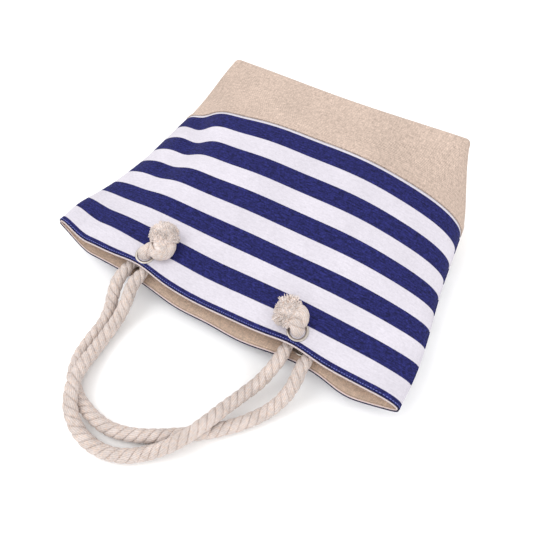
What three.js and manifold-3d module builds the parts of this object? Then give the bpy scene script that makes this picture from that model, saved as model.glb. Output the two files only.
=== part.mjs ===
// Striped beach bag with rope handles, lying on its back panel.
// Millimetres, +Z up. X runs across the mouth, -Y points out of the mouth, +Y to the base.
// Origin: on the floor, under the middle of the bag's body.
import * as THREE from 'three';
import Module from 'manifold-3d';

const wasm = await Module();
wasm.setup();

// ---- driving dimensions -------------------------------------------------------------------
const BODY_LENGTH = 360;          // mouth edge to base, along the floor
const MOUTH_FLAT_WIDTH = 518;     // seam to seam across one panel, at the mouth
const BASE_WIDTH = 376;           // outside of the squared base
const BASE_DEPTH = 138;           // outside of the squared base, front to back
const BASE_CORNER_R = 9;          // fold from panel to side, at the base
const BASE_ROLL_R = 8.4;          // fold from panel to base face
const BASE_LEAN = 0.05;           // sideways lean of the base, per height
const BOXING_START = 0.8;         // share of the length where the soft body starts to turn into the box
const ARCH_REACH = 212;           // how far from the side seam a panel keeps turning down, mid body
const MOUTH_ARCH_REACH = 30;      // the same at the mouth
const ARCH_START = 0.2;           // share of the length where the full arch is reached
const SEAM_DROP = 0.1;            // how far the side seams lie under mid height, per height, mid body
const MOUTH_TOP_Z = 50.5;         // outside of the front panel at the mouth
const MOUTH_BACK_Z = 27.5;        // outside of the back panel at the mouth, held up by its knots
const BACK_LIFT_START = 0.1;      // share of the length where the back panel starts to come down
const BACK_LIFT_END = 0.55;       // and where it lies on the floor
const STRIPED_LENGTH = 271;       // striped canvas, from the mouth edge to the band's seam
const CANVAS_T = 1.2;             // striped canvas and base band
const FACING_T = 1.0;
const LINING_T = 0.7;
const FACING_DEPTH = 50;
const LAYER_GAP = 0.5;            // clearance between layers of cloth
const SEAM_GAP = 0.4;             // clearance between two pieces that are sewn edge to edge
const MOUTH_WAVES = [             // soft waves of the front hem: centre x, height, half width
  { x: -182, z: 7, spread: 30 },
  { x: -25, z: -6, spread: 36 },
  { x: 92, z: 3, spread: 26 },
];
const BACK_WAVES = [              // the back hem sags to the floor between and beside its knots
  { x: -45, z: -8, spread: 38 },
  { x: 45, z: -8, spread: 38 },
  { x: 195, z: -7, spread: 24 },
];
const BACK_HEM_OUT = 0.4;         // how far the back hem comes out from under the front, per height it sags
const WAVE_REACH = 0.34;          // share of the length over which the waves die out
const LEFT_END_LIFT = 18;         // the left end of the mouth stands up and curls in and back
const LEFT_END_INWARD = 3;
const LEFT_END_BACK = 8;
const LEFT_END_START = 195;       // where it starts, and where it is complete, from the middle
const LEFT_END_FULL = 262;

const EYELET_INSET = 21;          // eyelet centre to mouth edge
const FRONT_EYELET_SPACING = 228;
const BACK_EYELET_SPACING = 248;
const EYELET_HOLE_R = 9.3;
const EYELET_WALL = 0.7;
const EYELET_FLANGE_R = 13.8;
const EYELET_FLANGE_T = 1.1;
const EYELET_CLEARANCE = 0.35;    // barrel to cloth, barrel to washer
const WASHER_T = 0.8;
const FLANGE_GAP = 1.0;           // between flange or washer and the curved cloth

const ROPE_D = 16;
const ROPE_SIDES = 10;
const ROPE_STEP = 1.1;            // tube rings, in rope diameters
const TAIL_SIDES = 12;
const EYELET_SIDES = 18;
const TAIL_D = 13.6;              // the rope where an eyelet squeezes it
const TAIL_SIDEWAYS = 4.5;        // how far a tail moves sideways on its way to the mouth
const TAIL_STRAIGHT = 6;          // last stretch of a tail, square to the mouth
const PIECE_GAP = 0.4;            // rope to rope, rope to knot
const MOUTH_LINE_GAP = 1.5;       // tail end to handle start, at the mouth edge

// Knots on the outside: size, and how far each lies from its eyelet to the bag's middle and to the base.
const FRONT_LEFT_KNOT = { width: 44, length: 48, height: 30 };
const FRONT_RIGHT_KNOT = { width: 48, length: 46, height: 30 };
const BACK_KNOT = { width: 46, length: 42, height: 23 };
const FRONT_LEFT_KNOT_SHIFT = { inward: 15.5, toBase: 24 };
const FRONT_RIGHT_KNOT_SHIFT = { inward: 14, toBase: 9 };
const BACK_KNOT_SHIFT = { inward: 2, toBase: 11 };
const KNOT_SIDES = 16;
const KNOT_RINGS = 8;

// ---- cloth rows and columns ---------------------------------------------------------------
const SIDE_COLUMNS = 9;
const FLAT_COLUMNS = 10;
const FACING_ROWS = 2;
const CANVAS_ROWS = 7;
const BAND_ROWS = 4;
const ROLL_ROWS = 3;
const FLAP_ROWS = 2;

// ---- materials ----------------------------------------------------------------------------
const cloth = (color) => new THREE.MeshStandardMaterial({ color, roughness: 0.92, metalness: 0 });
const NAVY_STRIPE = 0x2f3490;
const NATURAL_WEAVE = 0xd3bfa4;
const FACING_TAN = 0xb0916d;
const LINING_CREAM = 0xd9cdb8;
const ROPE_COTTON = 0xdfd2c4;
const metal = () => new THREE.MeshStandardMaterial({ color: 0xa8a29a, roughness: 0.35, metalness: 1 });

const { lerp } = THREE.MathUtils;

// ---- the body's outer surface -------------------------------------------------------------
const smoothstep = (low, high, x) => {
  const k = Math.min(Math.max((x - low) / (high - low), 0), 1);
  return k * k * (3 - 2 * k);
};
const mouthY = -BODY_LENGTH / 2;
const baseY = BODY_LENGTH / 2;
const rollStart = BODY_LENGTH - BASE_ROLL_R;
const rollEnd = rollStart + BASE_ROLL_R * Math.PI / 2;
const flapLength = BASE_DEPTH / 2 - BASE_ROLL_R - SEAM_GAP / 2;
const baseFlatWidth = BASE_WIDTH + BASE_DEPTH - (4 - Math.PI) * BASE_CORNER_R;

// Length of a quarter of an ellipse.
const quarterEllipse = (a, b) => Math.PI / 4 * (3 * (a + b) - Math.sqrt((3 * a + b) * (a + 3 * b)));

// Size of the closed section at a share t of the length. Each panel turns down to the side seams in
// a quarter ellipse, and the front panel keeps its flat width along that outline.
function sectionSize(t) {
  const flat = lerp(MOUTH_FLAT_WIDTH, baseFlatWidth, t);
  const top = lerp(MOUTH_TOP_Z, BASE_DEPTH, t);
  const bottom = MOUTH_BACK_Z * (1 - smoothstep(BACK_LIFT_START, BACK_LIFT_END, t));
  const boxed = smoothstep(BOXING_START, 1, t);
  const arched = smoothstep(0, ARCH_START, t);
  const seam = bottom + (top - bottom) * (0.5 - SEAM_DROP * arched * (1 - boxed));
  const reach = lerp(lerp(MOUTH_ARCH_REACH, ARCH_REACH, arched), BASE_CORNER_R, boxed);
  const rise = lerp(top - seam, BASE_CORNER_R, boxed);
  const half = reach + flat / 2 - (top - seam - rise) - quarterEllipse(reach, rise);
  return { top, bottom, seam, boxed, reach, half };
}

// Point of one panel's outline, a share u from the left seam to the right, and the direction
// (nx, nz) in which the outline is set in for the layers under it.
function panelOutline(size, up, u) {
  const height = up > 0 ? size.top - size.seam : size.seam - size.bottom;
  const rise = lerp(height, BASE_CORNER_R, size.boxed);
  const straight = height - rise;
  const arc = quarterEllipse(size.reach, rise);
  const mirrored = u > 0.5;
  const s = (mirrored ? 1 - u : u) * 2 * (straight + arc + size.half - size.reach);
  const angle = Math.min(Math.max((s - straight) / arc, 0), 1) * Math.PI / 2;
  const x = -size.half + size.reach * (1 - Math.cos(angle)) + Math.max(s - straight - arc, 0);
  const z = Math.min(s, straight) + rise * Math.sin(angle);
  const side = mirrored ? -1 : 1;
  return { x: x * side, z, height, nx: -Math.cos(angle) * side, nz: Math.sin(angle) };
}

const mouthShare = (t) => 1 - smoothstep(0, WAVE_REACH, t);
function hemWave(waves, x) {
  return waves.reduce((sum, w) => sum + w.z * Math.exp(-(((x - w.x) / w.spread) ** 2) / 2), 0);
}

// A point of the body, a depth under its outer surface. up is 1 on the front panel and -1 on the
// back panel; v is the distance from the mouth edge along the cloth, over the base fold and down
// the base face.
function surfacePoint(up, u, v, depth = 0) {
  const t = Math.min(v / rollStart, 1);
  const size = sectionSize(t);
  const o = panelOutline(size, up, u);
  const turn = Math.min(Math.max(v - rollStart, 0) / BASE_ROLL_R, Math.PI / 2);
  const inward = BASE_ROLL_R - (BASE_ROLL_R - depth) * Math.cos(turn);
  const drop = Math.max(v - rollEnd, 0);
  const wave = hemWave(up > 0 ? MOUTH_WAVES : BACK_WAVES, o.x) * mouthShare(t) * o.z / o.height;
  const curl = smoothstep(LEFT_END_START, LEFT_END_FULL, -o.x) * mouthShare(t);
  const out = (up > 0 ? 0 : BACK_HEM_OUT * wave) + LEFT_END_BACK * curl;
  const y = v > rollStart ? baseY - BASE_ROLL_R + (BASE_ROLL_R - depth) * Math.sin(turn) : mouthY + v + out;
  const z = size.seam + up * (o.z - o.nz * inward - drop) + wave + LEFT_END_LIFT * curl;
  return new THREE.Vector3(o.x - o.nx * inward + BASE_LEAN * z * t + LEFT_END_INWARD * curl, y, z);
}

function surfaceNormal(up, u, v) {
  const du = 1e-4;
  const dv = 0.05;
  const across = surfacePoint(up, u + du, v).sub(surfacePoint(up, u - du, v));
  const along = surfacePoint(up, u, v + dv).sub(surfacePoint(up, u, v - dv));
  return across.cross(along).multiplyScalar(up).normalize();
}

// ---- solids -------------------------------------------------------------------------------
function toSolid(geometry) {
  return new wasm.Manifold(new wasm.Mesh({
    numProp: 3,
    vertProperties: new Float32Array(geometry.attributes.position.array),
    triVerts: new Uint32Array(geometry.index.array),
  }));
}

function toGeometry(solid) {
  const mesh = solid.getMesh();
  const geometry = new THREE.BufferGeometry();
  geometry.setAttribute('position', new THREE.BufferAttribute(new Float32Array(mesh.vertProperties), 3));
  geometry.setIndex(Array.from(mesh.triVerts));
  return geometry;
}

// A closed sheet between two depths under the outer surface, over the cells that keep(i, j) allows.
function sheet(up, columns, rows, depth, thickness, keep = () => true) {
  const positions = [];
  const indices = [];
  const ids = new Map();
  const vertex = (i, j, inner) => {
    const key = `${i},${j},${inner}`;
    if (!ids.has(key)) {
      const p = surfacePoint(up, columns[i], rows[j], depth + (inner ? thickness : 0));
      ids.set(key, positions.length / 3);
      positions.push(p.x, p.y, p.z);
    }
    return ids.get(key);
  };
  const quad = (a, b, c, d) => (up > 0 ? indices.push(a, b, c, a, c, d) : indices.push(a, c, b, a, d, c));
  const wall = (i0, j0, i1, j1) => quad(
    vertex(i0, j0, 0), vertex(i0, j0, 1), vertex(i1, j1, 1), vertex(i1, j1, 0));
  const cell = (i, j) => i >= 0 && j >= 0 && i < columns.length - 1 && j < rows.length - 1 && keep(i, j);
  for (let i = 0; i < columns.length - 1; i += 1) {
    for (let j = 0; j < rows.length - 1; j += 1) {
      if (!cell(i, j)) continue;
      quad(vertex(i, j, 0), vertex(i + 1, j, 0), vertex(i + 1, j + 1, 0), vertex(i, j + 1, 0));
      quad(vertex(i, j, 1), vertex(i, j + 1, 1), vertex(i + 1, j + 1, 1), vertex(i + 1, j, 1));
      if (!cell(i, j - 1)) wall(i, j, i + 1, j);
      if (!cell(i + 1, j)) wall(i + 1, j, i + 1, j + 1);
      if (!cell(i, j + 1)) wall(i + 1, j + 1, i, j + 1);
      if (!cell(i - 1, j)) wall(i, j + 1, i, j);
    }
  }
  const geometry = new THREE.BufferGeometry();
  geometry.setAttribute('position', new THREE.Float32BufferAttribute(positions, 3));
  geometry.setIndex(indices);
  return geometry;
}

const steps = (from, to, count) => Array.from(
  { length: count + 1 }, (_, k) => from + (to - from) * k / count);

// Columns: close together where the cloth turns down at the sides, and one exactly where the
// base's corner fold starts, because the base face begins there.
const flatStart = (BASE_DEPTH / 2 - BASE_CORNER_R + BASE_CORNER_R * Math.PI / 2) / baseFlatWidth;
const cornerStart = (BASE_DEPTH / 2 - BASE_CORNER_R) / baseFlatWidth;
const seamEdge = SEAM_GAP / 2 / MOUTH_FLAT_WIDTH;
const mouthFold = quarterEllipse(MOUTH_ARCH_REACH, (MOUTH_TOP_Z - MOUTH_BACK_Z) / 2) / MOUTH_FLAT_WIDTH;
const sideColumns = [
  ...steps(seamEdge, mouthFold, 3),
  ...steps(mouthFold, cornerStart, 3).slice(1),
  ...steps(cornerStart, flatStart, SIDE_COLUMNS - 6).slice(1),
];
const columns = [
  ...sideColumns,
  ...steps(flatStart, 1 - flatStart, FLAT_COLUMNS).slice(1, -1),
  ...sideColumns.map((u) => 1 - u).reverse(),
];
const isFlatColumn = (i) => i >= SIDE_COLUMNS && i < SIDE_COLUMNS + FLAT_COLUMNS;

// Rows that every layer shares, so that their facets stay parallel.
const sharedRows = [
  ...steps(0, FACING_DEPTH, FACING_ROWS),
  ...steps(FACING_DEPTH, STRIPED_LENGTH, CANVAS_ROWS).slice(1),
  ...steps(STRIPED_LENGTH, rollStart, BAND_ROWS).slice(1),
  ...steps(rollStart, rollEnd, ROLL_ROWS).slice(1),
  ...steps(rollEnd, rollEnd + flapLength, FLAP_ROWS).slice(1),
];
const rowsBetween = (from, to) => [from, ...sharedRows.filter((v) => v > from && v < to), to];

// A panel that runs over the base fold and, between the corner folds only, down half the base face.
function boxedPanel(up, startRow, depth, thickness) {
  const rows = rowsBetween(startRow, rollEnd + flapLength);
  return sheet(up, columns, rows, depth, thickness, (i, j) => rows[j + 1] <= rollEnd || isFlatColumn(i));
}

// ---- eyelets ------------------------------------------------------------------------------
const facingDepth = CANVAS_T + LAYER_GAP;
const clothStack = facingDepth + FACING_T;
const barrelR = EYELET_HOLE_R + EYELET_WALL;
const holeR = barrelR + EYELET_CLEARANCE;

function shareAcross(up, x, v) {
  let [low, high] = [0, 1];
  for (let k = 0; k < 40; k += 1) {
    const middle = (low + high) / 2;
    if (surfacePoint(up, middle, v).x < x) low = middle;
    else high = middle;
  }
  return (low + high) / 2;
}

// Frame of an eyelet: centre on the outer face, +Z along the cloth's outward normal.
function eyeletFrame(up, side) {
  const x = side * (up > 0 ? FRONT_EYELET_SPACING : BACK_EYELET_SPACING) / 2;
  const u = shareAcross(up, x, EYELET_INSET);
  const normal = surfaceNormal(up, u, EYELET_INSET);
  const quaternion = new THREE.Quaternion().setFromUnitVectors(new THREE.Vector3(0, 0, 1), normal);
  return { point: surfacePoint(up, u, EYELET_INSET), normal, quaternion };
}

const place = (geometry, frame) => geometry.applyMatrix4(
  new THREE.Matrix4().compose(frame.point, frame.quaternion, new THREE.Vector3(1, 1, 1)));

function ring(profile) {
  const points = [...profile, profile[0]].map(([r, z]) => new THREE.Vector2(r, z));
  return new THREE.LatheGeometry(points, EYELET_SIDES).rotateX(Math.PI / 2);
}

function eyelet(frame) {
  const top = FLANGE_GAP + EYELET_FLANGE_T;
  const bottom = -(clothStack + FLANGE_GAP + WASHER_T);
  return place(ring([
    [EYELET_HOLE_R, bottom], [barrelR, bottom], [barrelR, FLANGE_GAP], [EYELET_FLANGE_R, FLANGE_GAP],
    [EYELET_FLANGE_R - 0.6, top - 0.4], [(barrelR + EYELET_FLANGE_R) / 2, top],
    [EYELET_HOLE_R + 0.4, top - 0.3],
    [EYELET_HOLE_R, FLANGE_GAP],
  ]), frame);
}

function washer(frame) {
  const top = -(clothStack + FLANGE_GAP);
  return place(ring([
    [holeR, top - WASHER_T], [EYELET_FLANGE_R, top - WASHER_T], [EYELET_FLANGE_R, top], [holeR, top],
  ]), frame);
}

function closedCylinder(r, length, frame) {
  return place(new THREE.CylinderGeometry(r, r, length, EYELET_SIDES).rotateX(Math.PI / 2), frame);
}

function weld(geometry) {
  const source = geometry.index ? geometry.toNonIndexed() : geometry;
  const p = source.attributes.position;
  const ids = new Map();
  const positions = [];
  const indices = [];
  for (let k = 0; k < p.count; k += 1) {
    const key = [p.getX(k), p.getY(k), p.getZ(k)].map((n) => Math.round(n * 1e4)).join(',');
    if (!ids.has(key)) {
      ids.set(key, positions.length / 3);
      positions.push(p.getX(k), p.getY(k), p.getZ(k));
    }
    indices.push(ids.get(key));
  }
  const kept = [];
  for (let k = 0; k < indices.length; k += 3) {
    const [a, b, c] = indices.slice(k, k + 3);
    if (a !== b && b !== c && c !== a) kept.push(a, b, c);
  }
  const welded = new THREE.BufferGeometry();
  welded.setAttribute('position', new THREE.Float32BufferAttribute(positions, 3));
  welded.setIndex(kept);
  return welded;
}

// Cloth with its two eyelet holes.
function pierced(geometry, frames) {
  const cutters = frames.map((frame) => toSolid(weld(closedCylinder(holeR, 30, frame))));
  const solid = cutters.reduce((body, cutter) => body.subtract(cutter), toSolid(geometry));
  return toGeometry(solid);
}

// ---- rope ---------------------------------------------------------------------------------
// Handle routes on the floor, from the left of the mouth to the right, with y from the mouth edge.
// The front handle lies over the back one on the left and crosses it again on the right.
const FRONT_ROUTE = [
  [-109, -6, 38.8], [-109, -12, 38.7], [-107.5, -24, 35], [-104.8, -39, 27], [-103.7, -58, 18.5],
  [-102.7, -83.6, 15.2], [-100.2, -112.8, 15.8], [-93.7, -142.6, 22.8], [-82.5, -166, 26],
  [-68, -185, 19.5], [-44.3, -197.5, 10.5], [-14.5, -199.5, 8.6], [10.2, -192, 8.6], [31.7, -176.8, 9.8],
  [50.2, -159.6, 17.2], [64.6, -140, 24.6], [74.7, -114, 24], [81.6, -88.8, 18.5], [90.7, -63.8, 17],
  [99.8, -43.2, 22], [106, -26.5, 32], [109, -12, 38.4], [109, -6, 38.8],
];
const BACK_ROUTE = [
  [-131, -6, 38.8], [-131, -12, 38.7], [-130.2, -23, 35.5], [-127.2, -38, 26], [-123, -54, 15],
  [-120, -72.7, 9], [-118.9, -96.6, 8.6], [-114.8, -122.7, 8.6], [-102.6, -146.9, 8.6],
  [-81.2, -164, 8.6], [-53.6, -173, 8.6], [-24.9, -175.6, 8.6], [-0.2, -169.8, 8.6], [23.4, -158.6, 8.6],
  [45.9, -144.3, 8.6], [68.4, -127.9, 8.6], [89.9, -109.4, 8.6], [109.3, -87.8, 9], [125.6, -64, 12],
  [134.9, -43.7, 22], [138, -26, 33.5], [137, -12, 38.7], [137, -6, 38.8],
];

function circleShape(r, sides) {
  const angles = steps(0, 2 * Math.PI, sides).slice(0, -1);
  return new THREE.Shape(angles.map((a) => new THREE.Vector2(r * Math.cos(a), r * Math.sin(a))));
}

function handleRope(route) {
  const points = route.map(([x, y, z]) => new THREE.Vector3(x, mouthY + y, z));
  const curve = new THREE.CatmullRomCurve3(points, false, 'centripetal');
  const count = Math.round(curve.getLength() / (ROPE_D * ROPE_STEP));
  const tube = new THREE.ExtrudeGeometry(circleShape(ROPE_D / 2, ROPE_SIDES), {
    steps: count, bevelEnabled: false, extrudePath: curve,
  });
  return weld(tube);
}

const solidBall = (r, at) => toSolid(weld(
  new THREE.SphereGeometry(r, TAIL_SIDES, TAIL_SIDES / 2).translate(at.x, at.y, at.z)));

function solidLeg(r, from, to) {
  const direction = to.clone().sub(from);
  const geometry = new THREE.CylinderGeometry(r, r, direction.length(), TAIL_SIDES);
  const up = new THREE.Vector3(0, 1, 0);
  geometry.applyQuaternion(new THREE.Quaternion().setFromUnitVectors(up, direction.normalize()));
  const middle = from.clone().add(to).multiplyScalar(0.5);
  return toSolid(weld(geometry.translate(middle.x, middle.y, middle.z)));
}

// A round tube along straight legs.
function solidPath(r, points) {
  const legs = points.slice(1).map((to, k) => solidLeg(r, points[k], to));
  const bends = points.slice(1, -1).map((at) => solidBall(r, at));
  return [...legs, ...bends].reduce((tube, piece) => tube.add(piece));
}

// A tail: out of the knot, through the eyelet, and flat between the panels to the mouth. It ends
// just short of the knot's surface.
function ropeTail(frame, mouthEnd, outward, knotAt, knotSize) {
  const r = TAIL_D / 2;
  const along = (distance) => frame.point.clone().addScaledVector(frame.normal, distance);
  const barrelEnd = -(clothStack + FLANGE_GAP + WASHER_T);
  const elbow = along(barrelEnd - PIECE_GAP - r);
  elbow.x += outward;
  const approach = mouthEnd.clone().setY(mouthEnd.y + TAIL_STRAIGHT);
  const emerging = along(FLANGE_GAP + EYELET_FLANGE_T + r);
  const tube = solidPath(r, [knotAt, emerging, along(barrelEnd), elbow, approach, mouthEnd]);
  const keptClear = toSolid(knotBody(knotAt, knotSize, PIECE_GAP));
  const pieces = tube.subtract(keptClear).decompose();
  return toGeometry(pieces.reduce((a, b) => (a.volume() > b.volume() ? a : b)));
}

// ---- knots --------------------------------------------------------------------------------
// Centre of a knot that lies on the cloth, over or under its panel, beside its eyelet.
function knotCentre(up, side, size, shift) {
  const eyeletX = side * (up > 0 ? FRONT_EYELET_SPACING : BACK_EYELET_SPACING) / 2;
  const v = EYELET_INSET + shift.toBase;
  const u = shareAcross(up, eyeletX - side * shift.inward, v);
  const lift = FLANGE_GAP + EYELET_FLANGE_T + PIECE_GAP + size.height / 2;
  return surfacePoint(up, u, v).addScaledVector(surfaceNormal(up, u, v), lift);
}

// A plain rounded body the size of the overhand knot.
function knotBody(at, size, grown = 0) {
  const angles = steps(0, Math.PI, KNOT_RINGS);
  const profile = angles.map((a) => new THREE.Vector2(Math.sin(a) / 2, -Math.cos(a) / 2));
  profile[0].x = 0;
  profile[KNOT_RINGS].x = 0;
  const body = new THREE.LatheGeometry(profile, KNOT_SIDES).rotateX(Math.PI / 2);
  body.scale(size.width + 2 * grown, size.length + 2 * grown, size.height + 2 * grown);
  return weld(body.translate(at.x, at.y, at.z));
}

// ---- assembly -----------------------------------------------------------------------------
const bag = new THREE.Group();
function add(name, geometry, material) {
  const mesh = new THREE.Mesh(geometry, material);
  mesh.name = name;
  bag.add(mesh);
}

const PANELS = [
  {
    name: 'front', up: 1, route: FRONT_ROUTE, tailShift: -TAIL_SIDEWAYS,
    knotSizes: [FRONT_LEFT_KNOT, FRONT_RIGHT_KNOT],
    knotShifts: [FRONT_LEFT_KNOT_SHIFT, FRONT_RIGHT_KNOT_SHIFT],
  },
  {
    name: 'back', up: -1, route: BACK_ROUTE, tailShift: TAIL_SIDEWAYS,
    knotSizes: [BACK_KNOT, BACK_KNOT],
    knotShifts: [BACK_KNOT_SHIFT, BACK_KNOT_SHIFT],
  },
];
const SIDES = [{ name: 'left', side: -1 }, { name: 'right', side: 1 }];

for (const { name, up, knotSizes, route, tailShift, knotShifts } of PANELS) {
  const frames = SIDES.map(({ side }) => eyeletFrame(up, side));
  const canvas = sheet(up, columns, rowsBetween(0, STRIPED_LENGTH - SEAM_GAP / 2), 0, CANVAS_T);
  const facing = sheet(up, columns, rowsBetween(0, FACING_DEPTH - SEAM_GAP / 2), facingDepth, FACING_T);
  add(`${name}_striped_canvas`, pierced(canvas, frames), cloth(NAVY_STRIPE));
  const band = boxedPanel(up, STRIPED_LENGTH + SEAM_GAP / 2, 0, CANVAS_T);
  const lining = boxedPanel(up, FACING_DEPTH + SEAM_GAP / 2, facingDepth, LINING_T);
  add(`${name}_base_band`, band, cloth(NATURAL_WEAVE));
  add(`${name}_mouth_facing`, pierced(facing, frames), cloth(FACING_TAN));
  add(`${name}_lining`, lining, cloth(LINING_CREAM));
  add(`${name}_handle_rope`, handleRope(route), cloth(ROPE_COTTON));
  SIDES.forEach(({ name: sideName, side }, k) => {
    const start = route[side < 0 ? 0 : route.length - 1];
    const mouthEnd = new THREE.Vector3(start[0], mouthY + start[1] + MOUTH_LINE_GAP, start[2]);
    const knotAt = knotCentre(up, side, knotSizes[k], knotShifts[k]);
    const tail = ropeTail(frames[k], mouthEnd, side * tailShift, knotAt, knotSizes[k]);
    add(`${name}_${sideName}_eyelet`, eyelet(frames[k]), metal());
    add(`${name}_${sideName}_eyelet_washer`, washer(frames[k]), metal());
    add(`${name}_${sideName}_rope_tail`, tail, cloth(ROPE_COTTON));
    add(`${name}_${sideName}_knot`, knotBody(knotAt, knotSizes[k]), cloth(ROPE_COTTON));
  });
}

export default bag;
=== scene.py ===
"""Striped beach bag with rope handles, lying on its back panel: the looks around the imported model."""

import math

import bpy
import numpy as np
from mathutils import Matrix, Vector


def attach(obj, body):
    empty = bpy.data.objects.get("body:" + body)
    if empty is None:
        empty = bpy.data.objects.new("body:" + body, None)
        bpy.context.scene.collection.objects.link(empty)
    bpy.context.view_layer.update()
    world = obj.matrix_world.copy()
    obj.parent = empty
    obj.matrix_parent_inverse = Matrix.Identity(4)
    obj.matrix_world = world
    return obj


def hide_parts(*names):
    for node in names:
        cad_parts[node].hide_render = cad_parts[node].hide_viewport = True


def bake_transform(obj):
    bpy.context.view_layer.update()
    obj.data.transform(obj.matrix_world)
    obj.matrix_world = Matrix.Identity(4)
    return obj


MM = 0.001
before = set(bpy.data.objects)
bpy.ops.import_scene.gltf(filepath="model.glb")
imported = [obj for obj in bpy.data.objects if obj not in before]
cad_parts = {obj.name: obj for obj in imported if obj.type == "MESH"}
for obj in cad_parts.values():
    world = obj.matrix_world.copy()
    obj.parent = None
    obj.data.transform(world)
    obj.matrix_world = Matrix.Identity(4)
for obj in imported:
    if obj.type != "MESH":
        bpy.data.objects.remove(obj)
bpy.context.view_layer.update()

# ---- camera ---------------------------------------------------------------------------------
CAMERA_AZIMUTH, CAMERA_ELEVATION = math.radians(30.507), math.radians(53.537)
CAMERA_TARGET = Vector((0.012333, -0.0588, 0.0))
CAMERA_DISTANCE = 0.775293
back = Vector((math.sin(CAMERA_AZIMUTH) * math.cos(CAMERA_ELEVATION),
               -math.cos(CAMERA_AZIMUTH) * math.cos(CAMERA_ELEVATION), math.sin(CAMERA_ELEVATION)))
right = Vector((math.cos(CAMERA_AZIMUTH), math.sin(CAMERA_AZIMUTH), 0))
camera_up = back.cross(right)
camera_data = bpy.data.cameras.new("camera")
camera_data.sensor_width = 36
camera_data.lens = 36.859
camera = bpy.data.objects.new("camera", camera_data)
turn = Matrix((right, camera_up, back)).transposed().to_4x4()
camera.matrix_world = Matrix.Translation(CAMERA_TARGET + back * CAMERA_DISTANCE) @ turn
bpy.context.scene.collection.objects.link(camera)
bpy.context.scene.camera = camera
bpy.context.scene.view_settings.view_transform = "Standard"

# ---- sizes, in millimetres ------------------------------------------------------------------
BODY_LENGTH = 360
MOUTH_FLAT_WIDTH = 518
BASE_WIDTH = 376
BASE_DEPTH = 138
BASE_CORNER_R = 9
BASE_ROLL_R = 8.4
BASE_LEAN = 0.05
BOXING_START = 0.8
ARCH_REACH = 212
MOUTH_ARCH_REACH = 30
ARCH_START = 0.2
SEAM_DROP = 0.1
MOUTH_TOP_Z = 50.5
MOUTH_BACK_Z = 27.5
BACK_LIFT_START = 0.1
BACK_LIFT_END = 0.55
STRIPED_LENGTH = 271
CANVAS_T = 1.2
FACING_T = 1.0
LINING_T = 0.7
FACING_DEPTH = 50
LAYER_GAP = 0.5
MOUTH_WAVES = [(-182, 7, 30), (-25, -6, 36), (92, 3, 26)]
WAVE_REACH = 0.34
BACK_WAVES = [(-45, -8, 38), (45, -8, 38), (195, -7, 24)]
BACK_HEM_OUT = 0.85
LEFT_END_LIFT = 19
LEFT_END_INWARD = 5
LEFT_END_BACK = 8
LEFT_END_START = 195
LEFT_END_FULL = 262
EYELET_INSET = 21
FRONT_EYELET_SPACING = 228
BACK_EYELET_SPACING = 248
ROPE_D = 16
LAID_D = 17.2          # over the strands, where nothing squeezes the rope
HEM = 7
STRIPE = 25.95
STRIPES = 10

mouth_y = -BODY_LENGTH / 2
base_y = BODY_LENGTH / 2
roll_start = BODY_LENGTH - BASE_ROLL_R
roll_end = roll_start + BASE_ROLL_R * math.pi / 2
flap_length = BASE_DEPTH / 2 - BASE_ROLL_R - 0.1
base_flat_width = BASE_WIDTH + BASE_DEPTH - (4 - math.pi) * BASE_CORNER_R


# ---- the body's surface ---------------------------------------------------------------------
def lerp(a, b, k):
    return a + (b - a) * k


def smoothstep(low, high, x):
    k = np.clip((x - low) / (high - low), 0, 1)
    return k * k * (3 - 2 * k)


def quarter_ellipse(a, b):
    return math.pi / 4 * (3 * (a + b) - np.sqrt((3 * a + b) * (a + 3 * b)))


def bump(x, y, at, spread):
    return np.exp(-0.5 * (((x - at[0]) / spread[0]) ** 2 + ((y - at[1]) / spread[1]) ** 2))


def bumps(table, x, v):
    return sum(height * bump(x, v, at, spread) for height, at, spread in table)


# Dents and bulges of the front panel: height, centre and spread, across and along the cloth
FRONT_DENTS = [
    (2.0, (-118, 0), (24, 9)),        # the hem over the two ropes
    (2.0, (118, 0), (22, 9)),
    (-6.0, (0, 95), (150, 42)),       # the striped cloth sags and rises again
    (2.5, (20, 240), (150, 30)),
    (-4.0, (-168, 318), (22, 18)),    # dents of the band
    (-6.5, (118, 318), (30, 12)),
    (-3.0, (60, 300), (46, 10)),
    (-2.0, (-60, 310), (50, 16)),
    (-5.0, (10, 350), (95, 28)),      # its edge sags between the corners
]
# Where the front hem is pulled towards the base at the eyelets, in the same form
HEM_PULLS = [(7, (-118, 0), (26, 9.5)), (4.5, (118, 0), (24, 9.5))]
# The fold that runs from the band into the striped cloth, at the left, and the ridge beside it
VALLEY_V = [110, 125, 170, 198, 221, 248, 300]
VALLEY_X = [-184, -183, -170, -170, -168, -187, -205]
VALLEY_DEPTH_V = [60, 110, 150, 200, 250, 285, 330]
VALLEY_DEPTH = [0, 3, 7, 11, 16, 9, 0]
VALLEY_SPREAD = 15
RIDGE_SHARE = 0.28
RIDGE_AWAY = 42
RIDGE_SPREAD = 18
RIPPLE_HEIGHT = 0.7


def relief(x, v):
    """Soft dents and folds of the front panel, in millimetres along z."""
    ripple = RIPPLE_HEIGHT * np.sin(x / 23 + v / 61)
    ripple = ripple * smoothstep(20, 120, v) * (1 - smoothstep(250, 330, v))
    valley = np.interp(v, VALLEY_V, VALLEY_X)
    depth = np.interp(v, VALLEY_DEPTH_V, VALLEY_DEPTH)
    fold = depth * np.exp(-0.5 * ((x - valley) / VALLEY_SPREAD) ** 2)
    ridge = RIDGE_SHARE * depth * np.exp(-0.5 * ((x - valley - RIDGE_AWAY) / RIDGE_SPREAD) ** 2)
    return bumps(FRONT_DENTS, x, v) + ripple - fold + ridge


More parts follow.
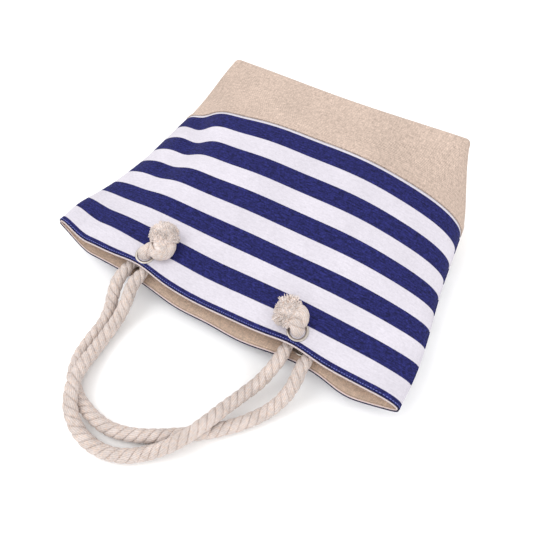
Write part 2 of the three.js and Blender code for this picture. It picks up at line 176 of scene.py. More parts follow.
def body_point(up, u, v, depth=0.0):
    """Points of the body, a depth under its outer surface; u runs across and v along the cloth."""
    u, v = np.broadcast_arrays(np.asarray(u, float), np.asarray(v, float))
    t = np.clip(v / roll_start, 0, 1)
    flat = lerp(MOUTH_FLAT_WIDTH, base_flat_width, t)
    top = lerp(MOUTH_TOP_Z, BASE_DEPTH, t)
    bottom = MOUTH_BACK_Z * (1 - smoothstep(BACK_LIFT_START, BACK_LIFT_END, t))
    boxed = smoothstep(BOXING_START, 1, t)
    arched = smoothstep(0, ARCH_START, t)
    seam = bottom + (top - bottom) * (0.5 - SEAM_DROP * arched * (1 - boxed))
    reach = lerp(lerp(MOUTH_ARCH_REACH, ARCH_REACH, arched), BASE_CORNER_R, boxed)
    front_rise = lerp(top - seam, BASE_CORNER_R, boxed)
    half = reach + flat / 2 - (top - seam - front_rise) - quarter_ellipse(reach, front_rise)
    height = top - seam if up > 0 else seam - bottom
    rise = lerp(height, BASE_CORNER_R, boxed)
    straight = height - rise
    arc = quarter_ellipse(reach, rise)
    side = np.where(u > 0.5, -1, 1)
    s = np.where(u > 0.5, 1 - u, u) * 2 * (straight + arc + half - reach)
    angle = np.clip((s - straight) / arc, 0, 1) * math.pi / 2
    x = (-half + reach * (1 - np.cos(angle)) + np.maximum(s - straight - arc, 0)) * side
    z = np.minimum(s, straight) + rise * np.sin(angle)
    bend = np.clip((v - roll_start) / BASE_ROLL_R, 0, math.pi / 2)
    inward = BASE_ROLL_R - (BASE_ROLL_R - depth) * np.cos(bend)
    drop = np.maximum(v - roll_end, 0)
    y = np.where(v > roll_start, base_y - BASE_ROLL_R + (BASE_ROLL_R - depth) * np.sin(bend), mouth_y + v)
    zz = seam + up * (z - np.sin(angle) * inward - drop)
    share = np.clip(z / height, 0, 1)
    at_mouth = 1 - smoothstep(0, WAVE_REACH, t)
    crests = MOUTH_WAVES if up > 0 else BACK_WAVES
    waves = sum(h * np.exp(-0.5 * ((x - c) / w) ** 2) for c, h, w in crests)
    waves = waves * at_mouth * share
    curl = smoothstep(LEFT_END_START, LEFT_END_FULL, -x) * at_mouth
    zz = zz + waves + LEFT_END_LIFT * curl
    if up > 0:
        zz = zz + relief(x, v) * share
        y = y + bumps(HEM_PULLS, x, v)
    else:
        y = y + BACK_HEM_OUT * waves
    y = y + LEFT_END_BACK * curl
    x = x + np.cos(angle) * side * inward + BASE_LEAN * zz * t + LEFT_END_INWARD * curl
    return np.stack([x, y, zz], -1)


def body_normal(up, u, v):
    across = body_point(up, u + 1e-3, v) - body_point(up, u - 1e-3, v)
    along = body_point(up, u, v + 0.5) - body_point(up, u, v - 0.5)
    n = np.cross(across, along) * up
    return n / np.linalg.norm(n, axis=-1, keepdims=True)


def share_across(up, x, v):
    """The share u at which a panel is at x, found by halving."""
    low, high = 0.0, 1.0
    for _ in range(40):
        middle = (low + high) / 2
        if body_point(up, middle, v)[0] < x:
            low = middle
        else:
            high = middle
    return (low + high) / 2


# ---- meshes ---------------------------------------------------------------------------------
def make_piece(name, points, faces, uv, material, body="bag", replaces=(), slot=None, smooth=True):
    mesh = bpy.data.meshes.new(name)
    points = np.asarray(points, float) * MM
    faces = [tuple(int(i) for i in f) for f in faces]
    mesh.from_pydata(points.tolist(), [], faces)
    loops = np.empty(len(mesh.loops), np.int32)
    mesh.loops.foreach_get("vertex_index", loops)
    layer = mesh.uv_layers.new(name="UVMap")
    layer.data.foreach_set("uv", (np.asarray(uv, float)[loops] * MM).ravel().astype(np.float32))
    mesh.polygons.foreach_set("use_smooth", np.full(len(mesh.polygons), smooth))
    mesh.materials.append(material)
    mesh.validate()
    mesh.update()
    piece = bpy.data.objects.new(name, mesh)
    bpy.context.scene.collection.objects.link(piece)
    if body:
        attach(piece, body)
    if replaces:
        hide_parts(*replaces)
    return piece


def grid_faces(rows, columns, start=0, flip=False, wrap=False):
    i, j = np.meshgrid(np.arange(rows - 1), np.arange(columns if wrap else columns - 1), indexing="ij")
    k = (j + 1) % columns
    a, b, c, d = i * columns + j, i * columns + k, (i + 1) * columns + k, (i + 1) * columns + j
    f = np.stack([a, b, c, d], -1).reshape(-1, 4) + start
    return f[:, ::-1] if flip else f


def shell(name, up, u, v, depth, thickness, material, lift=None, **kwargs):
    """A closed sheet of cloth between two depths; lift(u, v) raises its outer face."""
    uu, vv = np.meshgrid(u, v, indexing="ij")
    extra = 0 if lift is None else lift(uu, vv)
    outer = body_point(up, uu, vv, depth - extra).reshape(-1, 3)
    inner = body_point(up, uu, vv, depth + thickness).reshape(-1, 3)
    outer[:, 2] = np.maximum(outer[:, 2], 0.0)
    n, m = len(u), len(v)
    faces = [grid_faces(n, m, 0, up < 0), grid_faces(n, m, n * m, up > 0)]
    ring = [i * m for i in range(n)] + [(n - 1) * m + j for j in range(1, m)]
    ring += [i * m + m - 1 for i in range(n - 2, -1, -1)] + [j for j in range(m - 2, 0, -1)]
    ring = np.array(ring)
    after = np.roll(ring, -1)
    wall = np.stack([ring, ring + n * m, after + n * m, after], -1)
    faces.append(wall[:, ::-1] if up < 0 else wall)
    flat = np.stack([(uu - 0.5) * MOUTH_FLAT_WIDTH, vv], -1).reshape(-1, 2)
    points = np.vstack([outer, inner])
    return make_piece(name, points, np.vstack(faces), np.vstack([flat, flat]), material, **kwargs)


def frames_along(path):
    """Unit tangent and two normals at each point of a path, without twist."""
    tangent = np.gradient(path, axis=0)
    tangent /= np.linalg.norm(tangent, axis=1)[:, None]
    first = np.cross(tangent[0], (0.31, 0.17, 0.93))
    n = [first / np.linalg.norm(first)]
    for k in range(1, len(path)):
        turned = n[-1] - tangent[k] * (n[-1] @ tangent[k])
        n.append(turned / np.linalg.norm(turned))
    n = np.array(n)
    return tangent, n, np.cross(tangent, n)


def length_along(path):
    return np.concatenate([[0], np.cumsum(np.linalg.norm(np.diff(path, axis=0), axis=1))])


def skin(path, radius, angle, uv_across):
    """Points, faces and uv of a closed skin; radius and angle are given per ring and corner."""
    _, n, b = frames_along(path)
    ray = np.cos(angle)[..., None] * n[:, None] + np.sin(angle)[..., None] * b[:, None]
    points = (path[:, None] + radius[..., None] * ray).reshape(-1, 3)
    sides = radius.shape[1]
    last = len(points)
    faces = [tuple(f) for f in grid_faces(len(path), sides, wrap=True)]
    for k in range(sides):
        j = (k + 1) % sides
        faces += [(last, j, k), (last + 1, last - sides + k, last - sides + j)]
    length = length_along(path)
    uv = np.stack(np.broadcast_arrays(uv_across[None], length[:, None]), -1).reshape(-1, 2)
    uv = np.vstack([uv, [[0, 0]], [[0, length[-1]]]])
    return np.vstack([points, path[:1], path[-1:]]), faces, uv


def tube(path, radius, sides):
    """A closed round tube; its radius may vary along the path."""
    path = np.asarray(path, float)
    around = np.linspace(0, 2 * math.pi, sides, endpoint=False)
    r = np.asarray(radius, float).reshape(-1, 1)
    r = np.broadcast_to(r, (len(path), sides))
    return skin(path, r, around[None], around * r.mean())


def merge(parts):
    points, faces, uvs, count = [], [], [], 0
    for p, f, uv in parts:
        points.append(p)
        uvs.append(uv)
        faces += [tuple(i + count for i in face) for face in f]
        count += len(p)
    return np.vstack(points), faces, np.vstack(uvs)


SPAN_STEPS = 24


def smooth_path(route, spacing):
    """Centripetal Catmull-Rom curve through a route, at an even spacing."""
    p = np.array(route, float)
    p = np.vstack([2 * p[0] - p[1], p, 2 * p[-1] - p[-2]])
    out = []
    for k in range(1, len(p) - 2):
        q = p[k - 1:k + 3]
        t = np.concatenate([[0], np.cumsum(np.sqrt(np.linalg.norm(np.diff(q, axis=0), axis=1)))])
        s = np.linspace(t[1], t[2], SPAN_STEPS, endpoint=False)[:, None]
        a = [((t[i + 1] - s) * q[i] + (s - t[i]) * q[i + 1]) / (t[i + 1] - t[i]) for i in range(3)]
        b = [((t[i + 2] - s) * a[i] + (s - t[i]) * a[i + 1]) / (t[i + 2] - t[i]) for i in range(2)]
        out.append(((t[2] - s) * b[0] + (s - t[1]) * b[1]) / (t[2] - t[1]))
    out = np.vstack(out + [p[-2:-1]])
    length = length_along(out)
    even = np.linspace(0, length[-1], max(int(length[-1] / spacing), 4))
    return np.stack([np.interp(even, length, out[:, k]) for k in range(3)], -1), length[-1]


# Corners across one strand, from groove to groove, closer together at the grooves
STRAND_STEPS = np.array([-1, -0.93, -0.84, -0.66, -0.4, 0, 0.4, 0.66, 0.84, 0.93])
STRANDS = 3
LAY = 2.15 * ROPE_D     # length of rope in which a strand goes round once


def laid_rope(path, diameter, phase=0.0, groove=1.0):
    """Three strands laid around each other along a path, as one skin with a groove between strands."""
    diameter = np.broadcast_to(np.asarray(diameter, float), len(path))
    length = length_along(path)
    twist = phase - 2 * math.pi * length / LAY
    half_strand = math.pi / STRANDS
    around = np.concatenate([(2 * k + STRAND_STEPS) * half_strand for k in range(STRANDS)])
    w = np.abs(np.tile(STRAND_STEPS, STRANDS))
    share = 1 - groove * (0.15 * w ** 2.4 + 0.11 * np.exp(-((1 - w) / 0.09) ** 2))
    wander = 1 + 0.012 * np.sin(length / 9.0)[:, None] + 0.010 * np.sin(length / 3.7 + 2.0)[:, None]
    r = (diameter / 2)[:, None] * share[None] * wander
    return skin(path, r, around[None] + twist[:, None], around * diameter.mean() / 2)


# ---- materials ------------------------------------------------------------------------------
class Shader:
    """A material's node tree with a few short ways to add nodes to it."""

    def __init__(self, name, roughness=0.9, metallic=0.0):
        self.material = bpy.data.materials.new(name)
        self.material.use_nodes = True
        self.tree = self.material.node_tree
        self.bsdf = self.tree.nodes["Principled BSDF"]
        self.bsdf.inputs["Roughness"].default_value = roughness
        self.bsdf.inputs["Metallic"].default_value = metallic
        uv = self.tree.nodes.new("ShaderNodeUVMap")
        uv.uv_map = "UVMap"
        self.uv = uv.outputs[0]
        split = self.tree.nodes.new("ShaderNodeSeparateXYZ")
        self.tree.links.new(self.uv, split.inputs[0])
        self.across, self.along = split.outputs[0], split.outputs[1]
        place = self.tree.nodes.new("ShaderNodeTexCoord")
        self.place = place.outputs["Object"]

    def put(self, socket, value):
        if isinstance(value, bpy.types.NodeSocket):
            self.tree.links.new(value, socket)
        else:
            socket.default_value = value

    def math(self, operation, a, b=0.0, c=0.0):
        node = self.tree.nodes.new("ShaderNodeMath")
        node.operation = operation
        for k, x in enumerate((a, b, c)):
            self.put(node.inputs[k], x)
        return node.outputs[0]

    def noise(self, scale, detail=3.0, vector=None, rough=0.55):
        node = self.tree.nodes.new("ShaderNodeTexNoise")
        self.put(node.inputs["Vector"], self.place if vector is None else vector)
        node.inputs["Scale"].default_value = scale
        node.inputs["Detail"].default_value = detail
        node.inputs["Roughness"].default_value = rough
        return node.outputs["Fac"]

    def stretched(self, x, y):
        node = self.tree.nodes.new("ShaderNodeMapping")
        self.put(node.inputs["Vector"], self.uv)
        node.inputs["Scale"].default_value = (x, y, 1)
        return node.outputs[0]

    def mix(self, factor, a, b, blend="MIX"):
        node = self.tree.nodes.new("ShaderNodeMix")
        node.data_type = "RGBA"
        node.blend_type = blend
        self.put(node.inputs[0], factor)
        self.put(node.inputs[6], a)
        self.put(node.inputs[7], b)
        return node.outputs[2]

    def scaled(self, colour, factor):
        node = self.tree.nodes.new("ShaderNodeVectorMath")
        node.operation = "SCALE"
        self.put(node.inputs[0], colour if isinstance(colour, bpy.types.NodeSocket) else colour[:3])
        self.put(node.inputs["Scale"], factor)
        return node.outputs[0]

    def remap(self, x, low, high, to_low=0.0, to_high=1.0):
        node = self.tree.nodes.new("ShaderNodeMapRange")
        self.put(node.inputs["Value"], x)
        for k, value in (("From Min", low), ("From Max", high), ("To Min", to_low), ("To Max", to_high)):
            node.inputs[k].default_value = value
        return node.outputs[0]

    def waves(self, x, pitch):
        """Between 0 and 1, once per pitch."""
        phase = self.math("MULTIPLY", x, 2 * math.pi / pitch)
        return self.math("MULTIPLY_ADD", self.math("SINE", phase), 0.5, 0.5)

    def weave(self, pitch_across, pitch_along):
        """Height of a plain weave: warp and weft take turns on top."""
        a = self.waves(self.across, pitch_across)
        b = self.waves(self.along, pitch_along)
        over = self.math("MULTIPLY", a, b)
        under = self.math("MULTIPLY", self.math("SUBTRACT", 1.0, a), self.math("SUBTRACT", 1.0, b))
        return self.math("ADD", over, under)

    def finish(self, colour, height, strength, distance):
        self.put(self.bsdf.inputs["Base Color"], colour)
        node = self.tree.nodes.new("ShaderNodeBump")
        node.inputs["Strength"].default_value = strength
        node.inputs["Distance"].default_value = distance
        self.put(node.inputs["Height"], height)
        self.put(self.bsdf.inputs["Normal"], node.outputs[0])
        return self.material


def rgba(r, g, b):
    return (r, g, b, 1.0)


def varied(shader, colour, amount, *noises):
    """A colour made lighter and darker by noises between 0 and 1."""
    out = colour
    for k in noises:
        out = shader.scaled(out, shader.remap(k, 0.3, 0.7, 1 - amount, 1 + amount))
    return out


NAVY = rgba(0.0140, 0.0153, 0.093)
WHITE = rgba(0.585, 0.556, 0.61)
JUTE = rgba(0.50, 0.39, 0.325)
TAN = rgba(0.60, 0.45, 0.35)
CREAM = rgba(0.68, 0.60, 0.50)
COTTON = rgba(0.56, 0.49, 0.46)
# The cut yarns are the rope's cotton painted lighter, to make up for the shade the yarns cast on each other.
CUT_COTTON_PAINTED_LIGHTER = rgba(0.68, 0.605, 0.575)


def striped_cloth():
    """Fine canvas: a navy hem, stripes along the mouth, and painted shade at the seam with the band and along
    the mouth edge.
    """
    s = Shader("striped_canvas")
    wobble = s.math("MULTIPLY", s.math("SUBTRACT", s.noise(900, 2), 0.5), 0.0009)
    v = s.math("ADD", s.along, wobble)
    stripes = s.math("DIVIDE", s.math("SUBTRACT", v, HEM * MM), STRIPE * MM)
    pair = s.math("FRACT", s.math("MULTIPLY", stripes, 0.5))
    edge = s.remap(s.math("ABSOLUTE", s.math("SUBTRACT", pair, 0.25)), 0.244, 0.256, 1.0, 0.0)
    after = s.remap(v, (HEM - 0.3) * MM, (HEM + 0.3) * MM)
    last_stripe = HEM + STRIPES * STRIPE
    end = s.remap(v, (last_stripe - 0.3) * MM, (last_stripe + 0.3) * MM)
    white = s.math("MAXIMUM", s.math("MULTIPLY", edge, after), end)
    thread = s.noise(1.0, 2, s.stretched(130, 520))
    speck = s.noise(420, 3)
    broad = s.noise(14, 2)
    navy = varied(s, NAVY, 0.5, speck, thread)
    pale = varied(s, WHITE, 0.055, speck, thread, broad)
    # Painted shade: the canvas is darkened in its last millimetre, in the groove at the seam with the band.
    seam = s.remap(v, (STRIPED_LENGTH - 1.3) * MM, (STRIPED_LENGTH - 0.5) * MM, 1.0, 0.45)
    # Painted shade: the canvas is darkened along the mouth edge, in the gap under the binding.
    seam = s.math("MULTIPLY", seam, s.remap(v, 0.3 * MM, 0.9 * MM, 0.4, 1.0))
    colour = s.scaled(s.mix(white, navy, pale), seam)
    height = s.math("ADD", s.weave(0.0011, 0.0011), s.math("MULTIPLY", s.noise(520, 2), 0.7))
    s.bsdf.inputs["Specular IOR Level"].default_value = 0.2
    return s.finish(colour, height, 0.35, 0.0003)


def woven_cloth(name, colour, pitch, amount, strength=0.6):
    """Coarse cloth of uneven yarns, with thick and thin stretches both ways."""
    s = Shader(name)
    weft = s.noise(1.0, 2, s.stretched(150, 560))
    warp = s.noise(1.0, 2, s.stretched(560, 150))
    speck = s.noise(620, 3)
    broad = s.noise(14, 2)
    shade = s.remap(s.weave(pitch, pitch), 0, 1, 0.3, 0.7)
    tinted = varied(s, colour, amount, weft, warp, speck, shade)
    tinted = varied(s, tinted, amount * 0.45, broad)
    height = s.math("ADD", s.weave(pitch, pitch), s.math("ADD", weft, warp))
    return s.finish(tinted, height, strength, 0.0006)


def plain_cloth(name, colour, amount=0.06):
    s = Shader(name)
    height = s.math("ADD", s.weave(0.0008, 0.0008), s.noise(400, 2))
    return s.finish(varied(s, colour, amount, s.noise(500, 3)), height, 0.3, 0.0003)


def cotton(name, tint, yarn_pitch, amount):
    """Yarns that run slanted in each strand, with darker and warmer patches."""
    s = Shader(name, 0.95)
    slanted = s.math("SUBTRACT", s.across, s.math("MULTIPLY", s.along, 1.25))
    yarns = s.waves(s.math("ADD", slanted, s.math("MULTIPLY", s.noise(260, 2), 0.0012)), yarn_pitch)
    speck = s.noise(430, 3)
    broad = s.noise(60, 2)
    colour = varied(s, tint, amount, speck, broad, s.remap(yarns, 0, 1, 0.3, 0.7))
    warmer = s.mix(1.0, colour, rgba(1.03, 0.93, 0.84), "MULTIPLY")
    warm = s.mix(s.remap(s.noise(330, 2), 0.45, 0.7), colour, warmer)
    height = s.math("ADD", yarns, s.math("MULTIPLY", speck, 1.6))
    s.bsdf.inputs["Sheen Weight"].default_value = 0.12
    return s.finish(warm, height, 0.55, 0.0006)


def dull_metal():
    s = Shader("eyelet_metal", 0.36, 1.0)
    scratch = s.noise(1.0, 3, s.stretched(300, 2500))
    return s.finish(varied(s, rgba(0.46, 0.42, 0.38), 0.1, s.noise(300, 2)), scratch, 0.08, 0.0002)


def thread_material(name, colour):
    s = Shader(name, 0.8)
    return s.finish(varied(s, colour, 0.1, s.noise(900, 2)), s.waves(s.along, 0.0009), 0.4, 0.0002)


STRIPED = striped_cloth()
WEAVE = woven_cloth("natural_weave", JUTE, 0.0025, 0.15)
FACING = woven_cloth("facing_cloth", TAN, 0.0018, 0.13)
LINING = plain_cloth("lining_cloth", CREAM)
BINDING = plain_cloth("hem_binding", rgba(0.72, 0.62, 0.62))
ROPE = cotton("cotton_rope", COTTON, 0.0024, 0.12)
# The cut yarns' colour is painted lighter than the rope's, against the shade among the yarns.
FRAY = cotton("cut_yarns", CUT_COTTON_PAINTED_LIGHTER, 0.0024, 0.20)
METAL = dull_metal()
BLUE_THREAD = thread_material("blue_thread", rgba(0.16, 0.19, 0.48))

# ---- ropes ----------------------------------------------------------------------------------
# Handle routes from the left of the mouth to the right, with y from the mouth edge
FRONT_ROUTE = [
    (-109, -6, 38.8), (-109, -12, 38.7), (-107.5, -24, 35), (-104.8, -39, 27), (-103.7, -58, 18.5),
    (-102.7, -83.6, 15.2), (-100.2, -112.8, 15.8), (-93.7, -142.6, 22.8), (-82.5, -166, 26),
    (-68, -185, 19.5), (-44.3, -197.5, 10.5), (-14.5, -199.5, 8.6), (10.2, -192, 8.6), (31.7, -176.8, 9.8),
    (50.2, -159.6, 17.2), (64.6, -140, 24.6), (74.7, -114, 24), (81.6, -88.8, 18.5), (90.7, -63.8, 17),
    (99.8, -43.2, 22), (106, -26.5, 32), (109, -12, 38.4), (109, -6, 38.8),
]
BACK_ROUTE = [
    (-131, -6, 38.8), (-131, -12, 38.7), (-130.2, -23, 35.5), (-127.2, -38, 26), (-123, -54, 15),
    (-120, -72.7, 9), (-118.9, -96.6, 8.6), (-114.8, -122.7, 8.6), (-102.6, -146.9, 8.6),
    (-81.2, -164, 8.6), (-53.6, -173, 8.6), (-24.9, -175.6, 8.6), (-0.2, -169.8, 8.6), (23.4, -158.6, 8.6),
    (45.9, -144.3, 8.6), (68.4, -127.9, 8.6), (89.9, -109.4, 8.6), (109.3, -87.8, 9), (125.6, -64, 12),
    (134.9, -43.7, 22), (138, -26, 33.5), (137, -12, 38.7), (137, -6, 38.8),
]
LEFT, RIGHT = -1, 1
# A knot is a turn of rope around its own frayed end. Places are from the eyelet, in the cloth's
# frame: across, to the base and out of the cloth. Angles of the turn are in degrees, in the plane
# of the knot's first two axes.
FACING_OUT = np.array([(0.862, 0.493, -0.122), (-0.408, 0.815, 0.411), (0.302, -0.304, 0.903)])
FLAT = np.eye(3)
TURN_STEPS = 60
TURN_TUCK = 6.5                # how far a turn's ends go down into the knot
TURN_CORE_R = 10.5
TURN_CORE_HALF_HEIGHT = 9
CORE_SHARE = 0.84              # the brush's core, as a share of the brush
YARNS = {"front": 640, "back": 260}
KNOTS = {
    ("front", LEFT): dict(axes=FACING_OUT, turn=(17, 17, 13.5), bend=11.5, arc=(205, 395), rope=16.8,
                          ball=(14.5, 30.5, 16.5), size=(20, 18.5, 14.5), enters=(10, 12, 12)),
    ("front", RIGHT): dict(axes=FACING_OUT, turn=(-9, 9, 15), bend=9.6, arc=(150, -75), rope=16.2,
                           ball=(-16.5, 11, 15.6), size=(19.5, 18.5, 13.5), enters=(-10, 7, 20)),
    ("back", LEFT): dict(axes=FLAT, turn=(3, 5, 11.5), bend=12.5, arc=(190, 390), rope=15,
                         ball=(3, 17, 12.5), size=(19, 16, 9), enters=(3, 8, 10)),
    ("back", RIGHT): dict(axes=FLAT, turn=(-3, 5, 11.5), bend=12.5, arc=(190, 390), rope=15,
                          ball=(-3, 17, 12.5), size=(19, 16, 9), enters=(-3, 8, 10)),
}


def unit(a):
    return a / np.linalg.norm(a)


def eyelet_at(panel, side):
    """Centre of an eyelet on the cloth's outer face, and the cloth's frame there as three rows."""
    up = 1 if panel == "front" else -1
    x = side * (FRONT_EYELET_SPACING if up > 0 else BACK_EYELET_SPACING) / 2
    u = share_across(up, x, EYELET_INSET)
    n = body_normal(up, u, EYELET_INSET)
    across_cloth = unit(np.array([1, 0, 0]) - n * n[0])
    to_base = unit(np.array([0, 1, 0]) - n * n[1] - across_cloth * across_cloth[1])
    return body_point(up, u, EYELET_INSET), np.array([across_cloth, to_base, n])


def knot_place(panel, side, key):
    e, cloth = eyelet_at(panel, side)
    return e + np.array(KNOTS[panel, side][key]) @ cloth


def rope_line(panel, route):
    """The whole rope's route: knot, eyelet, mouth, loop and back the same way."""
    route = [(x, mouth_y + y, z) for x, y, z in route]
    apart = 0.8 if panel == "front" else -0.8
    ends = []
    for side, mouth in ((LEFT, route[0]), (RIGHT, route[-1])):
        e, cloth = eyelet_at(panel, side)
        n = cloth[2]
        enters = knot_place(panel, side, "enters")
        lean = (np.array(mouth) - e) * np.array([1, 0, 0])
        rises = e + n * 8.5 + (enters - e) * np.array([0.12, 0.12, 0])
        ends.append([tuple(enters), tuple(rises), tuple(e), tuple(e - n * 7 + lean * 0.3),
                     (mouth[0], mouth_y + 9, mouth[2] + apart)])
    return ends[0] + route + ends[1][::-1]


def rope_width(panel, line):
    """Full outside the bag, and squeezed between the panels."""
    inside = smoothstep(-184, -174, line[:, 1])
    for side in (LEFT, RIGHT):
        e, cloth = eyelet_at(panel, side)
        near = np.linalg.norm(line - e, axis=1) < 45
        inside = inside * np.where(near, 1 - smoothstep(-2, 2.5, (line - e) @ cloth[2]), 1)
    return LAID_D * (1 - 0.14 * inside)


def side_name(side):
    return "left" if side == LEFT else "right"


def in_brush(knot, d):
    """Whether a knot has cut yarns in a direction, in the knot's axes."""
    if knot == ("front", RIGHT):
        return d[0] < 0.3 or d[1] > 0.62
    return d[1] > -0.5


def brush_reach(knot, d):
    """The front right knot's yarns stick out further at its top and at its left."""
    if knot != ("front", RIGHT):
        return 1
    top = d[1] > 0.75 and -0.6 < d[0] < 0.45
    left = d[0] < -0.55 and d[1] < -0.2
    return 1 + 0.16 * top + 0.14 * left


def tuft(rng, knot, root, centre, size, axes, count):
    """Short cut yarns that fan out from a root to the surface of an ellipsoid."""
    parts = []
    while len(parts) < count:
        d = unit(rng.normal(0, 1, 3))
        if not in_brush(knot, d):
            continue
        end = centre + (d * size * rng.normal(0.985, 0.035) * brush_reach(knot, d)) @ axes
        start = root + (end - root) * 0.3
        sway = rng.normal(0, 0.7, 3)
        s = np.linspace(0, 1, 6)[:, None]
        fibre = start + (end - start) * s + sway * np.sin(s * 4.2)
        radius = rng.uniform(0.62, 0.95) * np.array([0.8, 0.9, 1, 1, 1.05, 0.7])
        parts.append(tube(fibre, radius, 6))
    return parts


def knot_piece(panel, side):
    """Rope turned around itself, with a frayed end."""
    rng = np.random.default_rng(11 + 3 * side + (0 if panel == "front" else 20))
    knot = KNOTS[panel, side]
    axes = knot["axes"] @ eyelet_at(panel, side)[1]
    turn, ball = knot_place(panel, side, "turn"), knot_place(panel, side, "ball")
    size = np.array(knot["size"])
    phi = np.radians(np.linspace(knot["arc"][0], knot["arc"][1], TURN_STEPS))[:, None]
    share = np.linspace(0, 1, TURN_STEPS)[:, None]
    tuck = -TURN_TUCK * np.abs(2 * share - 1) ** 3
    wrap = turn + knot["bend"] * (np.cos(phi) * axes[0] + np.sin(phi) * axes[1]) + tuck * axes[2]
    wrap = np.vstack([wrap, ball * 0.75 + wrap[-1] * 0.25])
    name = f"{panel}_{side_name(side)}_knot"
    points, faces, uv = laid_rope(smooth_path(wrap[::4], 1.3)[0], knot["rope"], phase=1.0, groove=0.42)
    make_piece(name + "_turn", points, faces, uv, ROPE, slot="cotton_rope")
    # A core under the brush and one inside the turn close the gaps between the yarns
    height = np.linspace(-0.98, 0.98, 15)
    waist = np.sqrt(1 - height ** 2)
    brush_core = ball + (height * size[2] * CORE_SHARE)[:, None] * axes[2]
    turn_core = turn + (height * TURN_CORE_HALF_HEIGHT)[:, None] * axes[2]
    parts = [tube(brush_core, size[0] * CORE_SHARE * waist, 28), tube(turn_core, TURN_CORE_R * waist, 24)]
    root = turn * 0.5 + ball * 0.5
    parts += tuft(rng, (panel, side), root, ball, size, axes, YARNS[panel])
    points, faces, uv = merge(parts)
    return make_piece(name + "_frayed", points, faces, uv, FRAY, replaces=[name], slot="cotton_rope")


knots = {"front": [], "back": []}
for panel, side in KNOTS:
    knots[panel].append(knot_piece(panel, side))

for panel, route in (("front", FRONT_ROUTE), ("back", BACK_ROUTE)):
    line, length = smooth_path(rope_line(panel, route), 1.5)
    points, faces, uv = laid_rope(line, rope_width(panel, line), phase=0.4 if panel == "front" else 1.5)
    shown = [f"{panel}_{part}" for part in ("handle_rope", "left_rope_tail", "right_rope_tail")]
    rope = make_piece(f"{panel}_rope", points, faces, uv, ROPE, body=None, slot="cotton_rope",
                      replaces=shown)
    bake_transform(rope)


# ---- cloth ----------------------------------------------------------------------------------
EDGE_CROWDING = 0.18


def across(count):
    """Shares across a panel, closer together at the side seams."""
    k = np.linspace(0, 1, count)
    return k - EDGE_CROWDING * np.sin(2 * math.pi * k) / (2 * math.pi)


CLOTH_COLUMNS = across(261)
lining_depth = CANVAS_T + LAYER_GAP
STITCHES = 158
STITCH_ROW = 2.1               # from the mouth edge
STITCH_HALF = 0.0021           # half a stitch, as a share of the panel's width
STITCH_R = np.array([0.28, 0.42, 0.42, 0.28])


def rows(*stretches):
    """Places along the cloth, from stretches given as start, end and count."""
    parts = [np.linspace(*stretch) for stretch in stretches]
    return np.concatenate(parts[:1] + [part[1:] for part in parts[1:]])


CANVAS_ROWS = rows((0, 7, 12), (7, STRIPED_LENGTH - 4, 150), (STRIPED_LENGTH - 4, STRIPED_LENGTH - 0.2, 9))
FACING_ROWS = rows((0.3, FACING_DEPTH - 0.3, 30))
INNER_ROWS = rows((FACING_DEPTH + 0.2, roll_start, 60), (roll_start, roll_end, 8))
BAND_ROWS = rows((STRIPED_LENGTH + 0.2, STRIPED_LENGTH + 8, 12), (STRIPED_LENGTH + 8, roll_start, 44),
                 (roll_start, roll_end, 10))
FLAP_ROWS = rows((roll_end, roll_end + flap_length, 24))


def hem_lift(u, v):
    """The hem is folded double, and the cloth dips at the seam with the band."""
    at_seam = smoothstep(STRIPED_LENGTH - 3, STRIPED_LENGTH - 1, v)
    return 0.8 * (1 - smoothstep(HEM - 0.6, HEM + 0.6, v)) - 0.5 * at_seam


def band_lift(u, v):
    """The band's edge is folded under, so it is thicker at the seam."""
    return 0.9 * (1 - smoothstep(STRIPED_LENGTH + 6, STRIPED_LENGTH + 7, v))


for panel, up in (("front", 1), ("back", -1)):
    shell(f"{panel}_canvas", up, CLOTH_COLUMNS, CANVAS_ROWS, 0, CANVAS_T, STRIPED, lift=hem_lift,
          replaces=[f"{panel}_striped_canvas"], slot="striped_canvas")
    shell(f"{panel}_facing", up, CLOTH_COLUMNS, FACING_ROWS, lining_depth, FACING_T, FACING,
          replaces=[f"{panel}_mouth_facing"], slot="facing_cloth")
    binding_rows = rows((-1.7 if up > 0 else -1.1, 1.5, 7))
    shell(f"{panel}_hem_binding", up, CLOTH_COLUMNS, binding_rows, CANVAS_T - 0.1, 0.5, BINDING)
    if up < 0:
        edge_columns = CLOTH_COLUMNS[2:-2]
        edge = body_point(up, edge_columns, np.full(len(edge_columns), -0.7), 0.1)
        points, faces, uv = tube(edge, 1.25, 8)
        # The fold's uv sits at the mouth edge, so it takes the painted shade along the edge and shows as a
        # darker navy line.
        make_piece(f"{panel}_hem_fold", points, faces, uv * np.array([1, 0]), STRIPED)
    shell(f"{panel}_band", up, CLOTH_COLUMNS, BAND_ROWS, 0, CANVAS_T, WEAVE, lift=band_lift,
          replaces=[f"{panel}_base_band"], slot="natural_weave")
    shell(f"{panel}_inner_cloth", up, CLOTH_COLUMNS, INNER_ROWS, lining_depth, LINING_T, LINING,
          replaces=[f"{panel}_lining"], slot="lining_cloth")
    flat_start = (BASE_DEPTH / 2 - BASE_CORNER_R + BASE_CORNER_R * math.pi / 2) / base_flat_width
    flap_columns = np.linspace(flat_start, 1 - flat_start, 120)
    shell(f"{panel}_base_flap", up, flap_columns, FLAP_ROWS, 0, CANVAS_T, WEAVE, slot="natural_weave")
    stitches = []
    for k in range(STITCHES):
        middle = (k + 0.5) / STITCHES
        u = np.linspace(middle - STITCH_HALF, middle + STITCH_HALF, len(STITCH_R))
        at = body_point(up, u, np.full(len(u), STITCH_ROW), -0.85)
        stitches.append(tube(at, STITCH_R, 6))
    points, faces, uv = merge(stitches)
    make_piece(f"{panel}_hem_stitches", points, faces, uv, BLUE_THREAD)


def welt(name, u, v, radius, material, slot):
    """A round seam along the cloth, with the cloth's own pattern running on over it."""
    points, faces, uv = tube(body_point(1, u, v), radius, 8)
    uv[:, 1] += v[0]
    return make_piece(name, points, faces, uv, material, slot=slot)


